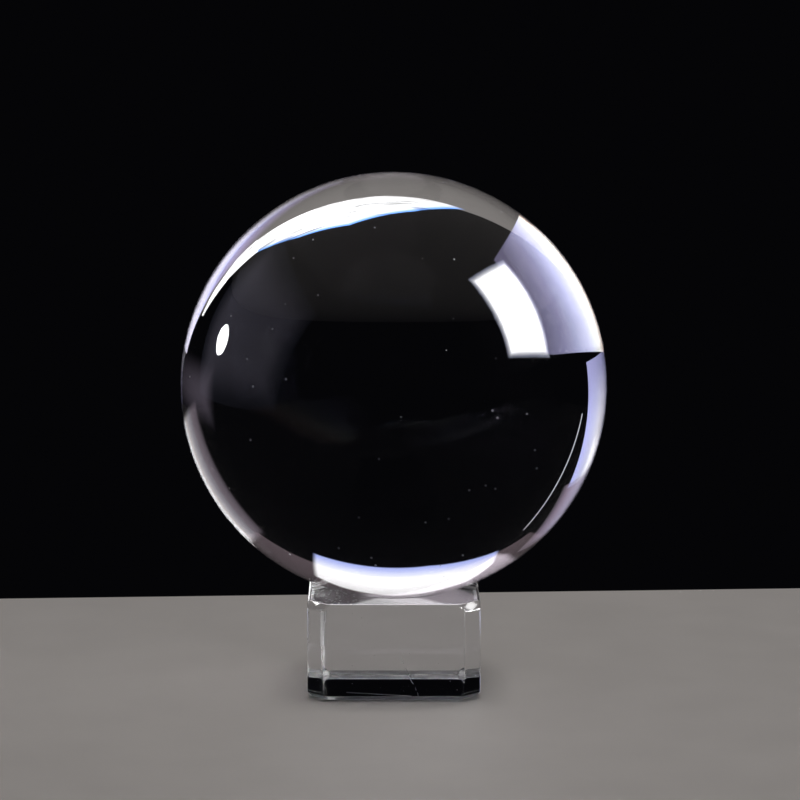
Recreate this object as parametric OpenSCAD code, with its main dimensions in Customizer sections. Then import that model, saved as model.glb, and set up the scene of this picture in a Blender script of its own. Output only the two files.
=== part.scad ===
// Solid crystal ball resting loose in the dished top of a square crystal stand.
// Millimetres, +Z up. The origin is the centre of the stand's resting face.

/* [Ball] */
// Diameter of the solid ball
ball_d = 80; // [60:1:100]

/* [Stand] */
// Width and depth of the block between opposite side faces
stand_w = 32.2; // [28:0.1:40]
// Height of the block from the resting face to the flat top
stand_h = 18.3; // [14:0.1:30]
// Width cut off each side face at the four upright corners
corner_cut = 2.7; // [1.5:0.1:4]
// Width of the slanted facets above and below each corner cut, measured up its face
corner_facet = 1.4; // [0.6:0.1:2]
// Narrow ground edge around the flat top
top_edge = 0.4; // [0.1:0.05:0.8]
// Bevel around the resting face
foot_bevel = 0.8; // [0.2:0.05:1.2]

/* [Dish] */
// Radius of the dish's round rim on the flat top
dish_rim_r = 11; // [8:0.1:13]
// Air gap between the ball and the dish it sits in
seat_gap = 0.1; // [0.05:0.01:0.3]

/* [Hidden] */
ball_r = ball_d / 2;
dish_r = ball_r + seat_gap;
ball_z = stand_h + sqrt(dish_r * dish_r - dish_rim_r * dish_rim_r);
// Distance between opposite corner cuts, measured along the block's diagonal
diagonal_w = (2 * stand_w - 2 * corner_cut) / sqrt(2);

// Upright slab with two parallel faces `width` apart, bevelled along all four of their long edges.
// Each bevel leans at 45 degrees and takes `top` or `foot` off the face's height.
module bevelled_slab(width, turn, top, foot) {
    half = width / 2;
    rotate([90, 0, turn])
        linear_extrude(height = 2 * stand_w, center = true)
            polygon([
                [-half, foot],
                [-half + foot, 0],
                [half - foot, 0],
                [half, foot],
                [half, stand_h - top],
                [half - top, stand_h],
                [-half + top, stand_h],
                [-half, stand_h - top]
            ]);
}

module ball() {
    color("aliceblue", 0.45)
        translate([0, 0, ball_z])
            sphere(r = ball_r, $fn = 160);
}

// Two slabs make the square block, two more at 45 degrees cut its corners and their facets.
module stand() {
    color("lightsteelblue", 0.6)
        difference() {
            intersection() {
                bevelled_slab(stand_w, 0, top_edge, foot_bevel);
                bevelled_slab(stand_w, 90, top_edge, foot_bevel);
                bevelled_slab(diagonal_w, 45, corner_facet, corner_facet);
                bevelled_slab(diagonal_w, 135, corner_facet, corner_facet);
            }
            translate([0, 0, ball_z])
                sphere(r = dish_r, $fn = 160);
        }
}

ball();
stand();
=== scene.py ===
# Solid crystal ball resting on its low dished crystal stand, lit by softboxes in a dark room.
# Metres, +Z up. The origin is the centre of the stand's resting face, and -Y is towards the front.
import math

import bpy
from mathutils import Matrix, Vector


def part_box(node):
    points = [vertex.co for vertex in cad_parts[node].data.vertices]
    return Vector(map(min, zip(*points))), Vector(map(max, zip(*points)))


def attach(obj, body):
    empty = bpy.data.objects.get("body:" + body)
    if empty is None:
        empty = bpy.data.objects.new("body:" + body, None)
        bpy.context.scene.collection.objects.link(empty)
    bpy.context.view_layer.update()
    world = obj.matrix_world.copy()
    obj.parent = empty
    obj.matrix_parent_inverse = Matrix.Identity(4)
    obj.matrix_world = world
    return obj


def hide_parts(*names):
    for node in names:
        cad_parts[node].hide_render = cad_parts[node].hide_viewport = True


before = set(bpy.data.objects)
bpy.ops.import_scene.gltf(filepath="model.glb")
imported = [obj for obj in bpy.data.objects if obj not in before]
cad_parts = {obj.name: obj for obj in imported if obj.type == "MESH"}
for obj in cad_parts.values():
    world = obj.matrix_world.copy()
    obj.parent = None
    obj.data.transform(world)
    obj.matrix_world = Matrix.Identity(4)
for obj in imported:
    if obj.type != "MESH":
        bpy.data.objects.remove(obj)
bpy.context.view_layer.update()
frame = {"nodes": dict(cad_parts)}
print("frame loaded:", ", ".join(frame["nodes"]))

ballLow, ballHigh = (Vector(corner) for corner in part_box("ball"))
standLow, standHigh = (Vector(corner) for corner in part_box("stand"))
ballCentre = (ballLow + ballHigh) / 2
ballRadius = min(ballHigh - ballLow) / 2
standHalf = (standHigh.x - standLow.x) / 2
standTop = standHigh.z
mm = 0.001


def directionTo(azimuth, elevation):
    # azimuth 0 points at the camera, 90 to its right
    a, e = math.radians(azimuth), math.radians(elevation)
    return Vector((math.sin(a) * math.cos(e), -math.cos(a) * math.cos(e), math.sin(e)))


# camera
view = {
    "distance": 0.700,  # from the middle of the ball
    "elevation": 9.0,
    "lens": 167.8,
    "sensor": 36.0,
    "aimRight": 1.16 * mm,  # the ball sits a little left of and above the middle
    "aimDown": 2.76 * mm,
}


def makeCamera():
    data = bpy.data.cameras.new("studioCamera")
    data.lens = view["lens"]
    data.sensor_width = view["sensor"]
    camera = bpy.data.objects.new("studioCamera", data)
    bpy.context.scene.collection.objects.link(camera)
    back = directionTo(0, view["elevation"])
    down = Vector((0, 0, -1)) + back * back.z
    aim = ballCentre + Vector((view["aimRight"], 0, 0)) + down.normalized() * view["aimDown"]
    camera.location = ballCentre + back * view["distance"]
    camera.rotation_mode = "QUATERNION"
    camera.rotation_quaternion = (aim - camera.location).to_track_quat("-Z", "Y")
    bpy.context.scene.camera = camera


makeCamera()
print("camera placed")


class Wire:
    # a shader socket: an expression on wires adds its Math nodes
    def __init__(self, tree, socket=None):
        self.tree = tree
        self.socket = socket

    def add(self, kind, settings=None, sockets=None, out=0):
        made = self.tree.nodes.new(kind)
        for name, value in (settings or {}).items():
            if name == "stops":
                fillRamp(made.color_ramp, value)
            else:
                setattr(made, name, value)
        for name, value in (sockets or {}).items():
            if isinstance(value, Wire):
                self.tree.links.new(value.socket, made.inputs[name])
            else:
                made.inputs[name].default_value = value
        return Wire(self.tree, made.outputs[out] if made.outputs else None)

    def math(self, operation, *values):
        return self.add("ShaderNodeMath", {"operation": operation}, dict(enumerate(values)))

    def __add__(self, other):
        return self.math("ADD", self, other)

    def __radd__(self, other):
        return self.math("ADD", other, self)

    def __sub__(self, other):
        return self.math("SUBTRACT", self, other)

    def __rsub__(self, other):
        return self.math("SUBTRACT", other, self)

    def __mul__(self, other):
        return self.math("MULTIPLY", self, other)

    def __rmul__(self, other):
        return self.math("MULTIPLY", other, self)

    def __truediv__(self, other):
        return self.math("DIVIDE", self, other)

    def __abs__(self):
        return self.math("ABSOLUTE", self)

    def most(self, other):
        return self.math("MAXIMUM", self, other)

    def least(self, other):
        return self.math("MINIMUM", self, other)

    def fade(self, start, end):
        # 0 at start, 1 at end, smooth between
        settings = {"interpolation_type": "SMOOTHSTEP"}
        sockets = {"Value": self, "From Min": start, "From Max": end}
        return self.add("ShaderNodeMapRange", settings, sockets)

    def parts(self):
        # the x, y and z of a vector
        split = self.add("ShaderNodeSeparateXYZ", None, {0: self})
        return [Wire(self.tree, part) for part in split.socket.node.outputs]


def fillRamp(ramp, stops):
    while len(ramp.elements) < len(stops):
        ramp.elements.new(1)
    for element, (place, colour) in zip(ramp.elements, stops):
        element.position = place
        element.color = colour


def newMaterial(name):
    material = bpy.data.materials.new(name)
    material.use_nodes = True
    material.node_tree.nodes.clear()
    wire = Wire(material.node_tree)
    return material, wire, wire.add("ShaderNodeTexCoord", out="Object")


def mixColours(wire, factor, first, second):
    # 0, 6 and 7 are the factor and the two colours, and 2 is the mixed colour
    settings = {"data_type": "RGBA"}
    return wire.add("ShaderNodeMix", settings, {0: factor, 6: first, 7: second}, out=2)


# table top, the floor that the stand rests on
tableTop = {
    "halfWidth": 0.60,
    "front": -1.00,
    "back": 0.080,
    "turn": 3.4,  # degrees: its back edge runs slightly askew
    "thickness": 0.030,
    "airGap": 0.2 * mm,  # keeps the stand's polished foot from wetting the table
    "edgeRound": 1.0 * mm,
    "edgeSteps": 3,
    "smoothBelow": 30,  # degrees between faces that are shaded as one
    "colour": (0.60, 0.575, 0.56, 1),
    "lighter": 1.06,  # the paint's colour varies between these shares of it
    "darker": 0.93,
    "roughness": 0.62,
    "roughnessSpread": 0.12,
    "grainScale": 60,
    "fineScale": 900,
    "bumpStrength": 0.06,
    "bumpDepth": 0.2 * mm,
}


def tableMaterial():
    material, wire, place = newMaterial("palePaintedTable")
    grainSockets = {"Vector": place, "Scale": tableTop["grainScale"], "Detail": 5}
    fineSockets = {"Vector": place, "Scale": tableTop["fineScale"], "Detail": 3}
    grain = wire.add("ShaderNodeTexNoise", None, grainSockets)
    fine = wire.add("ShaderNodeTexNoise", None, fineSockets)
    light = tuple(min(1, c * tableTop["lighter"]) for c in tableTop["colour"][:3]) + (1,)
    dark = tuple(c * tableTop["darker"] for c in tableTop["colour"][:3]) + (1,)
    bump = wire.add("ShaderNodeBump", None, {
        "Strength": tableTop["bumpStrength"],
        "Distance": tableTop["bumpDepth"],
        "Height": fine,
    })
    surface = wire.add("ShaderNodeBsdfPrincipled", None, {
        "Base Color": mixColours(wire, grain, dark, light),
        "Roughness": tableTop["roughness"] + (grain - 0.5) * tableTop["roughnessSpread"],
        "Normal": bump,
    })
    wire.add("ShaderNodeOutputMaterial", None, {"Surface": surface})
    return material


def makeTable():
    bpy.ops.object.select_all(action="DESELECT")
    depth = tableTop["back"] - tableTop["front"]
    middle = (0, tableTop["back"] - depth / 2, -tableTop["airGap"] - tableTop["thickness"] / 2)
    bpy.ops.mesh.primitive_cube_add(size=1, location=middle)
    made = bpy.context.active_object
    made.name = "tableTop"
    made.scale = (2 * tableTop["halfWidth"], depth, tableTop["thickness"])
    bpy.ops.object.transform_apply(location=True, rotation=True, scale=True)
    made.rotation_euler.z = math.radians(tableTop["turn"])
    bpy.ops.object.transform_apply(location=True, rotation=True, scale=True)
    edge = made.modifiers.new("softEdge", "BEVEL")
    edge.width = tableTop["edgeRound"]
    edge.segments = tableTop["edgeSteps"]
    bpy.ops.object.modifier_apply(modifier=edge.name)
    bpy.ops.object.shade_smooth_by_angle(angle=math.radians(tableTop["smoothBelow"]))
    made.data.materials.append(tableMaterial())
    made.visible_glossy = False  # glass doesn't mirror it, but it still shows through glass
    return made


table = makeTable()
print("table top made")


# ball: one sphere of clear glass with a little dust on it
ball = {
    "ior": 1.517,
    "cuts": 29,  # quads along each face of the cube it is rounded from, less one
    "rounding": 2,  # subdivision levels
    "tint": (0.985, 0.988, 1.0, 1),
    "dustTint": (0.80, 0.80, 0.84, 1),
    "dustScale": 280,
    "dustSize": (0.06, 0.03),  # where a speck starts and where it is full
    "dustRoughness": 0.85,
}


def ballMaterial():
    material, wire, place = newMaterial("clearBallCrystal")
    speck = wire.add("ShaderNodeTexVoronoi", None, {"Vector": place, "Scale": ball["dustScale"]})
    dust = speck.fade(*ball["dustSize"])
    surface = wire.add("ShaderNodeBsdfPrincipled", None, {
        "Base Color": mixColours(wire, dust, ball["tint"], ball["dustTint"]),
        "Roughness": dust * ball["dustRoughness"],
        "IOR": ball["ior"],
        "Transmission Weight": 1.0,
    })
    wire.add("ShaderNodeOutputMaterial", None, {"Surface": surface})
    return material


def makeBall():
    bpy.ops.object.select_all(action="DESELECT")
    bpy.ops.mesh.primitive_cube_add(size=ballRadius * 2 / math.sqrt(3), location=ballCentre)
    made = bpy.context.active_object
    made.name = "crystalBall"
    bpy.ops.object.mode_set(mode="EDIT")
    bpy.ops.mesh.select_all(action="SELECT")
    bpy.ops.mesh.subdivide(number_cuts=ball["cuts"])
    bpy.ops.transform.tosphere(value=1)
    bpy.ops.object.mode_set(mode="OBJECT")
    finer = made.modifiers.new("finer", "SUBSURF")
    finer.levels = ball["rounding"]
    finer.render_levels = ball["rounding"]
    trueRound = made.modifiers.new("trueRound", "CAST")
    trueRound.factor = 1
    trueRound.use_radius_as_size = False
    trueRound.size = ballRadius
    bpy.ops.object.modifier_apply(modifier=finer.name)
    bpy.ops.object.modifier_apply(modifier=trueRound.name)
    bpy.ops.object.transform_apply(location=True, rotation=True, scale=True)
    bpy.ops.object.shade_smooth()
    made.data.materials.append(ballMaterial())
    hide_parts("ball")
    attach(made, "ball")
    return made


crystalBall = makeBall()
print("ball made:", len(crystalBall.data.polygons), "faces")


# stand: a clear block with cut corners and a round dish
# each pair of numbers is where a mark starts to show and where it is full
stand = {
    "cornerCut": 2.7 * mm,  # width taken off each side at the upright corners
    "cornerFacet": 1.4 * mm,  # height of the slanted facets above and below each corner cut
    "topEdge": 0.4 * mm,
    "footBevel": 0.8 * mm,
    "seatGap": 0.1 * mm,
    "dishSegments": 192,
    "dishRings": 240,
    "edgeRound": 0.25 * mm,
    "edgeSteps": 3,
    "smoothBelow": 13,  # degrees between faces that are shaded as one
    "crispBelow": 22,  # degrees between faces whose edge isn't rounded, such as the dish's rim
    "ior": 1.517,
    "tint": (0.975, 0.98, 1.0, 1),
    "groundTint": (0.90, 0.91, 0.95, 1),
    "groundRoughness": 0.35,
    "patchScale": 500,  # the noise that breaks the ground parts up
    "edgeReach": (0.60 * mm, 0.25 * mm),  # the distances to an edge's two faces, added up
    "edgePatches": (0.20, 0.45),
    "edgeHeights": (2 * mm, 15 * mm),
    "edgeAtFoot": 0.25,  # share of the edges' ground look that is left at the foot
    "edgeSides": (14 * mm, 10 * mm),
    "edgeAtRight": 0.12,  # and the share left at the right side
    "footReach": (0.95 * mm, 0.80 * mm),  # heights: the top of the ground bevel
    "footRim": (0.0, 0.10 * mm),  # and its bottom
    "footPatches": (0.05, 0.35),
    "gritScale": 950,
    "gritSize": (0.34, 0.22),
    "gritDepth": (0.5 * mm, 0.3 * mm),  # below the flat top
    "cloudScale": 160,  # the noise that the grit follows
    "cloudLean": -14,  # how fast the grit thins to the right, per metre
    "cloudLevels": (0.50, 0.62),
    "dustScale": 700,
    "dustSize": (0.08, 0.04),
    "scratchDepth": (0.3 * mm, 0.1 * mm),  # behind the front face
    # a scratch passes through x and z, and leans by slope
    "hair": {"x": 0.5 * mm, "z": 10 * mm, "slope": 0.46, "wander": 1.0 * mm,
             "width": (0.10 * mm, 0.04 * mm), "low": (0.6 * mm, 1.2 * mm),
             "high": (11 * mm, 9 * mm), "breaks": (0.42, 0.50)},
    "streak": {"x": -4 * mm, "z": 1.35 * mm, "slope": 0.06, "width": (0.14 * mm, 0.05 * mm),
               "left": (-9.5 * mm, -8.5 * mm), "right": (4 * mm, 3 * mm)},
}
dishRadius = ballRadius + stand["seatGap"]
cornerReach = (2 * standHalf - stand["cornerCut"]) / math.sqrt(2)  # from the middle to a corner cut


def cutBy(point, normal):
    # keeps what lies behind the plane and closes the cut
    bpy.ops.mesh.select_all(action="SELECT")
    bpy.ops.mesh.bisect(plane_co=point, plane_no=normal, use_fill=True, clear_outer=True)


def cutStandSides():
    for eighth in range(8):
        outward = Vector((math.cos(eighth * math.pi / 4), math.sin(eighth * math.pi / 4), 0))
        if eighth % 2:
            reach, top, foot = cornerReach, stand["cornerFacet"], stand["cornerFacet"]
            cutBy(outward * reach, outward)
        else:
            reach, top, foot = standHalf, stand["topEdge"], stand["footBevel"]
        cutBy(outward * reach + Vector((0, 0, standTop - top)), outward + Vector((0, 0, 1)))
        cutBy(outward * reach + Vector((0, 0, foot)), outward - Vector((0, 0, 1)))


def groundEdges(x, y, z, patch):
    # ground in patches along the edges, less so low down and at the right
    side = standHalf - abs(x).most(abs(y))
    corner = cornerReach - (abs(x) + abs(y)) * math.sqrt(0.5)
    top = standTop - z
    near = (side + corner).fade(*stand["edgeReach"])
    for first, second in [(side, top), (side, z), (corner, top), (corner, z)]:
        near = near.most((first + second).fade(*stand["edgeReach"]))
    upwards = stand["edgeAtFoot"] + (1 - stand["edgeAtFoot"]) * z.fade(*stand["edgeHeights"])
    across = stand["edgeAtRight"] + (1 - stand["edgeAtRight"]) * x.fade(*stand["edgeSides"])
    return near * patch.fade(*stand["edgePatches"]) * upwards * across


def scratches(x, z, patch):
    # a hair scratch down the front, and a longer streak above the foot
    facts = stand["hair"]
    lean = (z - facts["z"]) * facts["slope"] + (patch - 0.5) * facts["wander"]
    hair = abs(x - facts["x"] + lean).fade(*facts["width"])
    hair = hair * z.fade(*facts["low"]) * z.fade(*facts["high"]) * patch.fade(*facts["breaks"])
    facts = stand["streak"]
    streak = abs(z - facts["z"] + (x - facts["x"]) * facts["slope"]).fade(*facts["width"])
    streak = streak * x.fade(*facts["left"]) * x.fade(*facts["right"])
    return hair.most(streak)


def standMaterial():
    material, wire, place = newMaterial("groundStandCrystal")
    x, y, z = place.parts()
    patchSockets = {"Vector": place, "Scale": stand["patchScale"], "Detail": 3}
    cloudSockets = {"Vector": place, "Scale": stand["cloudScale"], "Detail": 2}
    patch = wire.add("ShaderNodeTexNoise", None, patchSockets)
    cloud = wire.add("ShaderNodeTexNoise", None, cloudSockets)
    grit = wire.add("ShaderNodeTexVoronoi", None, {"Vector": place, "Scale": stand["gritScale"]})
    speck = wire.add("ShaderNodeTexVoronoi", None, {"Vector": place, "Scale": stand["dustScale"]})
    # the bevel round the foot is ground, not polished
    foot = z.fade(*stand["footReach"]) * z.fade(*stand["footRim"])
    foot = foot * patch.fade(*stand["footPatches"])
    # fine grit left on the flat top, thickest towards the left
    frost = grit.fade(*stand["gritSize"]) * (standTop - z).fade(*stand["gritDepth"])
    frost = frost * (cloud + x * stand["cloudLean"]).fade(*stand["cloudLevels"])
    dust = speck.fade(*stand["dustSize"])
    front = (y + standHalf).fade(*stand["scratchDepth"])
    marks = groundEdges(x, y, z, patch).most(foot).most(frost).most(dust)
    marks = marks.most(front * scratches(x, z, patch))
    surface = wire.add("ShaderNodeBsdfPrincipled", None, {
        "Base Color": mixColours(wire, marks, stand["tint"], stand["groundTint"]),
        "Roughness": marks * stand["groundRoughness"],
        "IOR": stand["ior"],
        "Transmission Weight": 1.0,
    })
    wire.add("ShaderNodeOutputMaterial", None, {"Surface": surface})
    return material


def makeDishCutter():
    bpy.ops.mesh.primitive_uv_sphere_add(
        segments=stand["dishSegments"], ring_count=stand["dishRings"],
        radius=dishRadius, location=ballCentre)
    return bpy.context.active_object


def makeStand():
    bpy.ops.object.select_all(action="DESELECT")
    bpy.ops.mesh.primitive_cube_add(size=1, location=(0, 0, standTop / 2))
    made = bpy.context.active_object
    made.name = "dishedStand"
    made.scale = (2 * standHalf, 2 * standHalf, standTop)
    bpy.ops.object.transform_apply(location=True, rotation=True, scale=True)
    bpy.ops.object.mode_set(mode="EDIT")
    cutStandSides()
    bpy.ops.object.mode_set(mode="OBJECT")
    cutter = makeDishCutter()
    bpy.ops.object.select_all(action="DESELECT")
    made.select_set(True)
    bpy.context.view_layer.objects.active = made
    dish = made.modifiers.new("dish", "BOOLEAN")
    dish.operation = "DIFFERENCE"
    dish.solver = "EXACT"
    dish.object = cutter
    bpy.ops.object.modifier_apply(modifier=dish.name)
    bpy.data.objects.remove(cutter, do_unlink=True)
    bpy.ops.object.shade_smooth_by_angle(angle=math.radians(stand["smoothBelow"]))
    edge = made.modifiers.new("groundEdges", "BEVEL")
    edge.width = stand["edgeRound"]
    edge.segments = stand["edgeSteps"]
    edge.limit_method = "ANGLE"
    edge.angle_limit = math.radians(stand["crispBelow"])
    edge.harden_normals = True
    bpy.ops.object.modifier_apply(modifier=edge.name)
    made.data.materials.clear()
    made.data.materials.append(standMaterial())
    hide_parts("stand")
    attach(made, "stand")
    return made


dishedStand = makeStand()
print("stand made:", len(dishedStand.data.polygons), "faces")


# room and lamps
room = {
    "background": (0.0015, 0.0015, 0.0020, 1),
    "lampEdge": 0.5 * mm,  # how softly a shaped lamp ends, where it has no soft of its own
    "bearingFrom": 0.040,  # bearings on the table are measured from this far behind the middle
    "wispLevels": (0.50, 0.60, 0.70),  # a wisp starts, is darkest and ends at these noise levels
    "wispDetail": 3,
    "wispDistortion": 0.8,
}
white = (1.0, 1.0, 1.0)
lilac = (0.66, 0.70, 1.0)
mirroredInGlass = {"lights": "glass", "seen": "mirrored"}
mirroredInStand = {"lights": "stand", "seen": "mirrored"}
throughGlass = {"lights": "glass", "seen": "through"}
throughBall = {"lights": "ball", "seen": "through"}
overhead = {"facing": (0, 0, -1), "along": (1, 0, 0)}
flatOnTable = {"facing": (0, 0, 1), "along": (1, 0, 0)}
keyPanel = {"along": (0.226, 0.951, -0.214), "size": (0.50, 0.70)}
leftRound = {
    "place": ballCentre + directionTo(-111, 11) * 1.3, "along": (0.3, 1, 0),
    "size": (0.22, 0.22), "round": True,
}
leftWay = directionTo(-111, 0)
leftUpright = {"facing": -leftWay, "along": (0.36, 0.93, 0), "stopsAlong": "width"}

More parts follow.
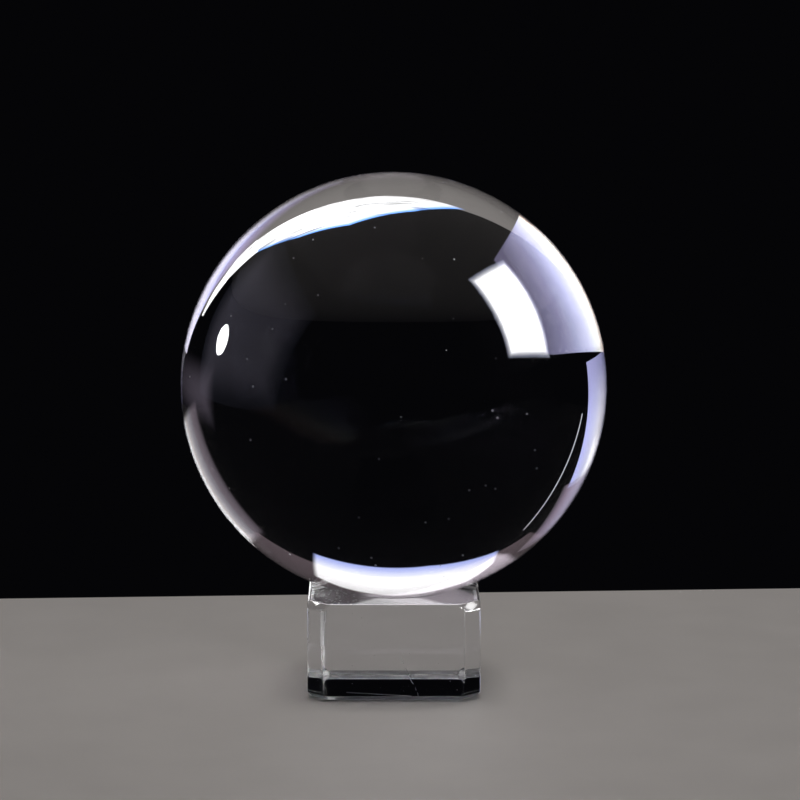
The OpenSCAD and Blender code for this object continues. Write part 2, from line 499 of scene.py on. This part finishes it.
# seen: whether glass mirrors the lamp, lets it through, or both. lights: which things it lights.
# radiance: how bright its face is, before its colours.
# corners: the lit shape in metres, on the level plane through place.
# rim: how far the edge colour reaches in, from the sides numbered in rimSides, or else from all.
# stops: colours by how far along the width they are, or by their bearing in degrees.
# fadeFar, fadeNear: distances from the middle over which it dims, and fadeFar's share left.
# Lamps that lie one over another each have a height of their own, or they hide each other.
lamps = {
    "keySoftbox": {
        **keyPanel, **mirroredInGlass, "place": (0.796, -0.073, 0.570), "radiance": 70,
        "rim": 0.16, "rimRadiance": 2.5, "rimColour": lilac,
    },
    "keyThroughStand": {
        **keyPanel, "place": (0.797, -0.073, 0.571), "radiance": 70,
        "lights": "stand", "seen": "through",
    },
    "keyThroughBall": {
        **keyPanel, **throughBall, "place": (0.798, -0.073, 0.572), "radiance": 3,
    },
    "leftLamp": {**leftRound, **mirroredInGlass, "radiance": 18},
    "leftLampThrough": {**leftRound, **throughGlass, "radiance": 2.5},
    "overheadPanel": {
        **overhead, **throughGlass, "place": (-0.05, 0.61, 0.70), "radiance": 1.1, "soft": 0.03,
        "corners": [(0.384, 0.935), (-0.155, 0.905), (-0.49, 0.775), (-0.412, 0.537),
                    (-0.27, 0.34), (0.0, 0.29), (0.18, 0.36), (0.30, 0.45)],
        "rim": 0.28, "rimSides": [0, 1], "rimRadiance": 1.0, "rimColour": (0.38, 0.44, 0.86),
    },
    "overheadDim": {
        **overhead, **throughGlass, "place": (0, 0.43, 0.75), "size": (1.5, 0.72),
        "radiance": 0.09, "colour": (1.0, 0.76, 0.85),
    },
    "overheadSide": {
        **overhead, **throughBall, "place": (-0.20, 0.40, 0.73), "soft": 0.05,
        "corners": [(-0.49, 0.775), (-0.53, 0.60), (-0.51, 0.05), (0.12, 0.05), (0.12, 0.32)],
        "radiance": 0.55, "colour": (1.0, 0.88, 1.0),
    },
    "leftPanelLow": {
        **leftUpright, **throughGlass, "size": (0.573, 0.60), "radiance": 1.1,
        "place": ballCentre + leftWay + Vector((0, 0, 0.10)),
        "stops": [(0.0, (0.66, 0.68, 0.92)), (0.17, (0.80, 0.78, 0.98)),
                  (0.40, (1.0, 0.98, 1.1)), (0.60, (0.95, 0.94, 1.1)),
                  (0.78, (0.68, 0.70, 1.0)), (1.0, (0.50, 0.52, 0.95))],
        "rim": 0.36, "rimSides": [2], "rimRadiance": 0.42, "rimColour": (0.92, 0.92, 1.6),
    },
    "leftPanelHigh": {
        **leftUpright, **throughGlass, "size": (0.728, 0.62), "radiance": 0.95,
        "place": ballCentre + leftWay + Vector((0, 0, 0.68)),
        "stops": [(0.10, (0.38, 0.38, 0.54)), (0.33, (0.50, 0.47, 0.63)),
                  (0.5, (0.74, 0.68, 0.90)), (0.644, (0.62, 0.54, 0.74)),
                  (0.767, (0.44, 0.37, 0.50)), (0.894, (0.26, 0.20, 0.27)),
                  (1.0, (0.06, 0.05, 0.06))],
        "rim": 0.25, "rimSides": [0], "rimRadiance": 0.14, "rimColour": (1.0, 0.85, 1.0),
    },
    "leftPanelSpot": {
        **throughBall, "place": ballCentre + directionTo(-110, 15.5) * 0.96,
        "along": (0.36, 0.93, 0), "size": (0.30, 0.26), "round": True,
        "radiance": 0.9, "rim": 0.13, "rimRadiance": 0.0, "rimColour": white,
    },
    "leftWall": {
        "place": ballCentre + directionTo(-95, 20) * 1.2, "along": (0.1, 1, 0),
        "size": (1.60, 1.30), "radiance": 0.32, "colour": (0.80, 0.76, 1.0),
        "rim": 0.4, "rimRadiance": 0.05, "rimColour": lilac,
        "lights": "ball", "seen": "mirrored",
    },
    "rightPanel": {
        **throughBall, "place": ballCentre + directionTo(112.4, 23.6),
        "along": (-0.342, 0.847, -0.407), "size": (0.80, 0.73), "soft": 0.06,
        "radiance": 2.7, "stopsAlong": "width",
        "stops": [(0.10, (1.0, 1.0, 1.0)), (0.41, (0.88, 0.88, 0.92)),
                  (0.50, (0.39, 0.35, 0.33)), (0.537, (0.30, 0.275, 0.27)),
                  (0.60, (0.20, 0.19, 0.205)), (0.70, (0.112, 0.106, 0.118)),
                  (0.80, (0.060, 0.050, 0.058)), (0.90, (0.038, 0.031, 0.037)),
                  (1.0, (0.0, 0.0, 0.0))],
    },
    "rightPanelLow": {
        **throughBall, "place": ballCentre + directionTo(115, -4) * 1.1,
        "along": (-0.42, 0.906, 0), "size": (0.90, 0.34), "soft": 0.16,
        "radiance": 0.05, "colour": (1.0, 0.85, 1.1),
    },
    "sideSheen": {
        **flatOnTable, **throughBall, "place": (-0.20, 0.10, 0.0007),
        "corners": [(-0.030, 0.112), (-0.108, 0.210), (-0.118, 0.210), (-0.40, -0.03),
                    (-0.05, -0.03), (-0.036, 0.040)],
        "radiance": 2.5, "fadeFar": (0.10, 0.18, 0.70), "stopsAlong": "bearing",
        "stops": [(-152, (0.04, 0.036, 0.06)), (-144, (0.08, 0.076, 0.124)),
                  (-139.5, (0.104, 0.10, 0.168)), (-135, (0.152, 0.152, 0.24)),
                  (-131, (0.20, 0.204, 0.32)), (-126.5, (0.28, 0.288, 0.424)),
                  (-122, (0.352, 0.36, 0.52)), (-118, (0.44, 0.448, 0.60)),
                  (-114, (0.54, 0.56, 0.66)), (-108, (0.72, 0.72, 0.72)),
                  (-103, (0.92, 0.88, 0.84)), (-98, (0.96, 0.80, 0.68)),
                  (-94, (0.48, 0.30, 0.24)), (-90, (0.20, 0.14, 0.16)),
                  (-87, (0.0, 0.0, 0.0))],
    },
    "tableSheen": {
        **flatOnTable, **throughBall, "place": (0.14, 0.03, 0.0009),
        "corners": [(0.012, -0.03), (0.255, -0.03), (0.255, 0.105), (0.054, 0.0735),
                    (0.012, 0.065)],
        "radiance": 1.8, "fadeNear": (0.035, 0.085), "stopsAlong": "bearing",
        "stops": [(90, (0.10, 0.09, 0.13)), (92.5, (0.14, 0.13, 0.22)),
                  (95.5, (0.72, 0.70, 0.86)), (104, (0.84, 0.80, 1.0)),
                  (108, (0.60, 0.60, 0.85)), (110.5, (0.46, 0.47, 0.78)),
                  (113, (0.22, 0.20, 0.40)), (118, (0.16, 0.13, 0.24)),
                  (124, (0.05, 0.04, 0.07)), (128, (0.0, 0.0, 0.0))],
    },
    "thinBar": {
        **throughBall, "place": ballCentre + directionTo(-136.5, 15),
        "along": directionTo(-142, 30) - directionTo(-130, 0), "size": (0.55, 0.008),
        "radiance": 0.9, "colour": (0.9, 0.9, 1.0),
    },
    "backStrip": {
        **flatOnTable, **throughBall, "place": (0.020, 0.085, 0.0011), "radiance": 1.5,
        "corners": [(-0.018, 0.076), (0.002, 0.0735), (0.042, 0.0715), (0.044, 0.085),
                    (0.026, 0.094), (0.011, 0.0965), (-0.005, 0.0875)],
        "rim": 0.004, "rimSides": [3, 4, 5, 6], "rimRadiance": 1.2,
        "rimColour": (0.10, 0.35, 1.0), "wisps": 0.6, "wispScale": (2.5, 9.0, 1.0),
    },
    "backStripMiddle": {
        **flatOnTable, **throughBall, "place": (0.055, 0.080, 0.0013), "radiance": 1.5,
        "corners": [(0.041, 0.071), (0.054, 0.073), (0.068, 0.078), (0.068, 0.088),
                    (0.055, 0.0865), (0.042, 0.0855)],
        "wisps": 0.6, "wispScale": (1.5, 6.0, 1.0),
    },
    "backStripEnd": {
        **flatOnTable, **throughBall, "place": (0.090, 0.088, 0.0015), "radiance": 1.5,
        "corners": [(0.066, 0.076), (0.080, 0.080), (0.113, 0.086), (0.110, 0.095),
                    (0.080, 0.090), (0.066, 0.088)],
    },
    "glintRight": {
        **mirroredInStand, "place": (0.0189, -0.0117, 0.0224),
        "facing": (-0.65, -0.346, -0.676), "along": (0, 1, 0), "size": (0.0022, 0.0022),
        "radiance": 9, "soft": 0.0006,
    },
    "glintLeft": {
        **mirroredInStand, "place": (-0.0170, -0.0108, 0.0224),
        "facing": (0.65, -0.346, -0.676), "along": (0, 1, 0), "size": (0.0022, 0.0030),
        "radiance": 14,
    },
    "glintTopLeft": {
        **mirroredInStand, "place": (-0.0270, 0.050, 0.0175), "facing": (0.215, -0.976, 0.02),
        "along": (1, 0, 0), "size": (0.014, 0.012), "radiance": 2.5,
    },
    "sheenRight": {
        **flatOnTable, **mirroredInStand, "place": (0.17, 0.10, 0.0006),
        "corners": [(0.05, 0.02), (0.30, 0.07), (0.30, 0.20), (0.04, 0.05)],
        "radiance": 4.0, "colour": lilac,
    },
    "sheenLeft": {
        **flatOnTable, **mirroredInStand, "place": (-0.17, 0.10, 0.0008),
        "corners": [(-0.05, 0.02), (-0.30, 0.07), (-0.30, 0.20), (-0.04, 0.05)],
        "radiance": 3.0, "colour": lilac,
    },
    "sheenFront": {
        **flatOnTable, **mirroredInStand, "place": (-0.06, -0.06, 0.0006), "radiance": 14,
        "corners": [(-0.028, -0.040), (-0.040, -0.028), (-0.11, -0.080), (-0.080, -0.11)],
    },
    "tableLight": {
        **overhead, "place": (0.05, 0.05, 0.90), "size": (0.8, 0.8), "radiance": 1.6,
        "colour": (1.0, 0.97, 0.95), "lights": "table", "seen": "both", "blockedBy": "stand",
    },
}


def makeRoom():
    world = bpy.data.worlds.new("darkRoom")
    world.use_nodes = True
    world.node_tree.nodes["Background"].inputs["Color"].default_value = room["background"]
    bpy.context.scene.world = world


def lightGroups():
    members = {
        "glass": [crystalBall, dishedStand],
        "ball": [crystalBall],
        "stand": [dishedStand],
        "table": [table],
    }
    groups = {}
    for name, objects in members.items():
        groups[name] = bpy.data.collections.new(name + "Receivers")
        for member in objects:
            groups[name].objects.link(member)
    return groups


def colourStops(wire, facts, across, x, y):
    # a ramp along the lamp's width, or by the bearing of each spot from behind the ball
    stops = facts["stops"]
    along = across
    if facts["stopsAlong"] == "bearing":
        bearing = wire.math("ARCTAN2", x, room["bearingFrom"] - y) * math.degrees(1)
        low, high = stops[0][0], stops[-1][0]
        along = (bearing - low) / (high - low)
        stops = [((spot - low) / (high - low), colour) for spot, colour in stops]
    stops = [(spot, (*colour, 1)) for spot, colour in stops]
    return wire.add("ShaderNodeValToRGB", {"stops": stops}, {0: along})


def rimBlend(wire, facts, gaps, inside, core):
    # the edge colour where it is near a side that has one, and core further in
    near = inside
    if "rimSides" in facts:
        near = gaps[facts["rimSides"][0]]
        for number in facts["rimSides"][1:]:
            near = near.least(gaps[number])
    share = facts["rimRadiance"] / facts["radiance"]
    rim = tuple(c * share for c in facts["rimColour"]) + (1,)
    return mixColours(wire, near.fade(0.0, facts["rim"]), rim, core)


def wispShade(wire, facts, spot):
    # thin streaky dips in brightness
    stretch = {0: spot, 1: facts["wispScale"]}
    stretched = wire.add("ShaderNodeVectorMath", {"operation": "MULTIPLY"}, stretch)
    cloud = wire.add("ShaderNodeTexNoise", None, {
        "Vector": stretched,
        "Scale": 1.0,
        "Detail": room["wispDetail"],
        "Distortion": room["wispDistortion"],
    })
    start, darkest, end = room["wispLevels"]
    return 1 - facts["wisps"] * cloud.fade(start, darkest) * (1 - cloud.fade(darkest, end))


def lampShape(data, facts, corners, axes, turning):
    # lights only the shape inside the corners, and colours it
    # turning is 1 where the corners run anticlockwise, and -1 where they run clockwise
    data.use_nodes = True
    data.node_tree.nodes.clear()
    wire = Wire(data.node_tree)
    spot = wire.add("ShaderNodeNewGeometry", out="Parametric")
    across, upward = spot.parts()[:2]
    x = (across - 0.5) * data.size
    y = (upward - 0.5) * data.size_y
    gaps = []  # how far each spot is inside each side
    for start, end in zip(corners, corners[1:] + corners[:1]):
        side = (end - start).normalized() * turning
        gaps.append((y - start.y) * side.x - (x - start.x) * side.y)
    inside = gaps[0]
    for gap in gaps[1:]:
        inside = inside.least(gap)
    core = (*facts.get("colour", white), 1)
    strength = facts["radiance"]
    if "stops" in facts:
        place, along, up = axes
        spotX = place.x + x * along.x + y * up.x
        spotY = place.y + x * along.y + y * up.y
        core = colourStops(wire, facts, across, spotX, spotY)
        reach = wire.math("SQRT", spotX * spotX + spotY * spotY)
        if "fadeFar" in facts:
            start, end, left = facts["fadeFar"]
            strength = strength * (1 - (1 - left) * reach.fade(start, end))
        if "fadeNear" in facts:
            strength = strength * reach.fade(*facts["fadeNear"])
    if "rim" in facts:
        core = rimBlend(wire, facts, gaps, inside, core)
    if "wisps" in facts:
        strength = strength * wispShade(wire, facts, spot)
    lit = inside.fade(0.0, facts.get("soft", room["lampEdge"])) * strength
    glow = wire.add("ShaderNodeEmission", None, {"Color": core, "Strength": lit})
    wire.add("ShaderNodeOutputLight", None, {"Surface": glow})


def makeLamp(name, facts, groups):
    data = bpy.data.lights.new(name, "AREA")
    lamp = bpy.data.objects.new(name, data)
    bpy.context.scene.collection.objects.link(lamp)
    place = Vector(facts["place"])
    away = -Vector(facts["facing"]) if "facing" in facts else (place - ballCentre).normalized()
    along = Vector(facts["along"])
    along = (along - away * along.dot(away)).normalized()
    up = away.cross(along)
    if "corners" in facts:
        corners = [Vector((x, y, place.z)) - place for x, y in facts["corners"]]
        corners = [Vector((corner.dot(along), corner.dot(up))) for corner in corners]
        data.shape = "RECTANGLE"
        data.size = 2 * max(abs(corner.x) for corner in corners)
        data.size_y = 2 * max(abs(corner.y) for corner in corners)
    else:
        data.shape = "ELLIPSE" if facts.get("round") else "RECTANGLE"
        data.size, data.size_y = facts["size"]
        ways = [(-1, -1), (1, -1), (1, 1), (-1, 1)]
        corners = [Vector((x * data.size / 2, y * data.size_y / 2)) for x, y in ways]
    # a lamp's radiance is its energy over four times its area
    area = data.size * data.size_y * (math.pi / 4 if facts.get("round") else 1)
    if any(key in facts for key in ("corners", "rim", "stops", "soft")):
        turning = sum(a.x * b.y - b.x * a.y for a, b in zip(corners, corners[1:] + corners[:1]))
        lampShape(data, facts, corners, (place, along, up), math.copysign(1, turning))
        data.energy = 4 * area
    else:
        data.energy = facts["radiance"] * 4 * area
        data.color = facts.get("colour", white)
    turn = Matrix((along, up, away)).transposed()
    lamp.matrix_world = Matrix.Translation(place) @ turn.to_4x4()
    lamp.visible_camera = False
    lamp.visible_glossy = facts["seen"] != "through"
    lamp.visible_transmission = facts["seen"] != "mirrored"
    lamp.light_linking.receiver_collection = groups[facts["lights"]]
    if "blockedBy" in facts:
        lamp.light_linking.blocker_collection = groups[facts["blockedBy"]]


makeRoom()
receivers = lightGroups()
for lampName, lampFacts in lamps.items():
    makeLamp(lampName, lampFacts, receivers)
print("lamps placed:", ", ".join(lamps))

# how glass is traced and shown
scene = bpy.context.scene
scene.view_settings.view_transform = "Standard"
scene.cycles.max_bounces = 32
scene.cycles.glossy_bounces = 24
scene.cycles.transmission_bounces = 24
scene.cycles.caustics_reflective = False
scene.cycles.caustics_refractive = False
